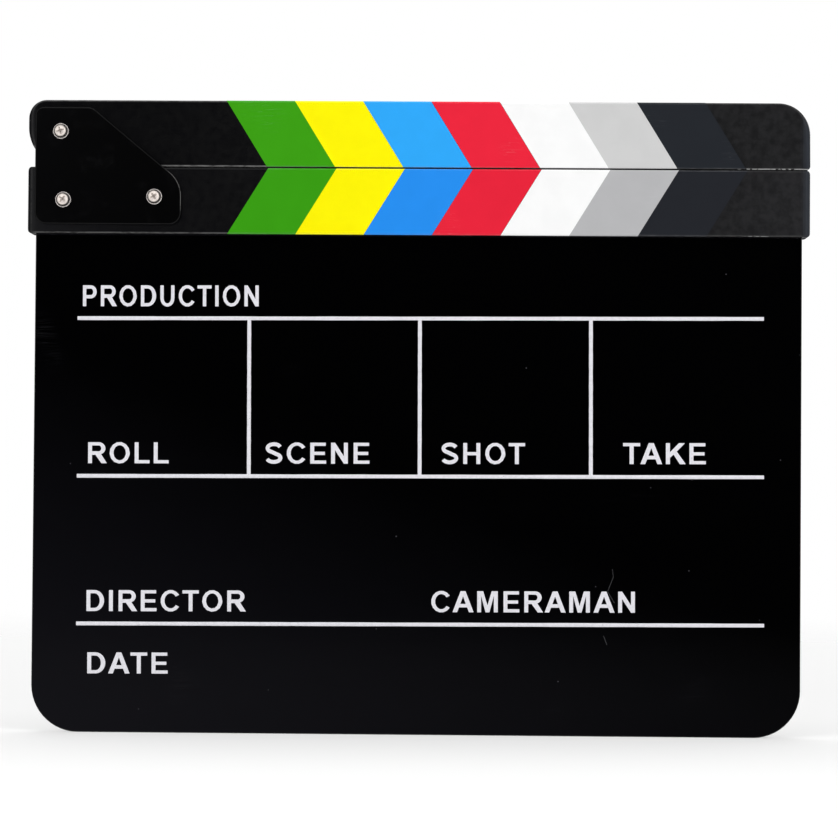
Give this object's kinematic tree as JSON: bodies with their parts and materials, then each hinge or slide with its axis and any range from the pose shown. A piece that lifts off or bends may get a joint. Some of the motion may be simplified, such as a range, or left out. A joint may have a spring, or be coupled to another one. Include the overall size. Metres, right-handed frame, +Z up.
{
  "type": "clapperboard",
  "caption": "Film slate with a gloss black writing panel and two black wooden sticks with coloured bands, the upper stick hinged at one end to clap.",
  "frame": {"origin": "middle of the panel's bottom edge, half way through its thickness", "axes": "+X to the right seen from the front, +Y to the back, +Z up towards the sticks"},
  "size_m": [0.3, 0.0229, 0.2427],
  "materials": {
    "panel_acrylic": "polished gloss black acrylic",
    "stick_paint": "satin black paint",
    "plate_coat": "matt black powder coat",
    "bright_steel": "bright nickel plate",
    "bush_brass": "turned",
    "nylon": "natural nylon",
    "film_green": "satin film, mid green",
    "film_yellow": "satin film, lemon yellow",
    "film_blue": "satin film, sky blue",
    "film_red": "satin film, signal red",
    "film_white": "satin film, white",
    "film_light_grey": "satin film, light grey",
    "film_charcoal": "satin film, charcoal"
  },
  "bodies": {
    "board": {"slate_panel": "panel_acrylic", "lower_stick": "stick_paint", "front_hinge_plate": "plate_coat", "rear_hinge_plate": "plate_coat", "pivot_screw": "bright_steel", "plate_screws": "bright_steel", "plate_nuts": "bright_steel", "pivot_lock_nut": "bright_steel", "front_washers": "bright_steel", "rear_washers": "bright_steel", "pivot_bush": "bush_brass", "lock_nut_ring": "nylon", "thrust_washers": "nylon", "lower_band_green": "film_green", "lower_band_yellow": "film_yellow", "lower_band_blue": "film_blue", "lower_band_red": "film_red", "lower_band_white": "film_white", "lower_band_light_grey": "film_light_grey", "lower_band_charcoal": "film_charcoal"},
    "clapstick": {"upper_stick": "stick_paint", "upper_band_green": "film_green", "upper_band_yellow": "film_yellow", "upper_band_blue": "film_blue", "upper_band_red": "film_red", "upper_band_white": "film_white", "upper_band_light_grey": "film_light_grey", "upper_band_charcoal": "film_charcoal"}
  },
  "joints": [
    {"name": "clap_hinge", "type": "hinge", "parent": "board", "child": "clapstick", "pos_m": [-0.1371, 0, 0.2304], "axis": [0, -1, 0], "range_deg": [0, 94]}
  ]
}
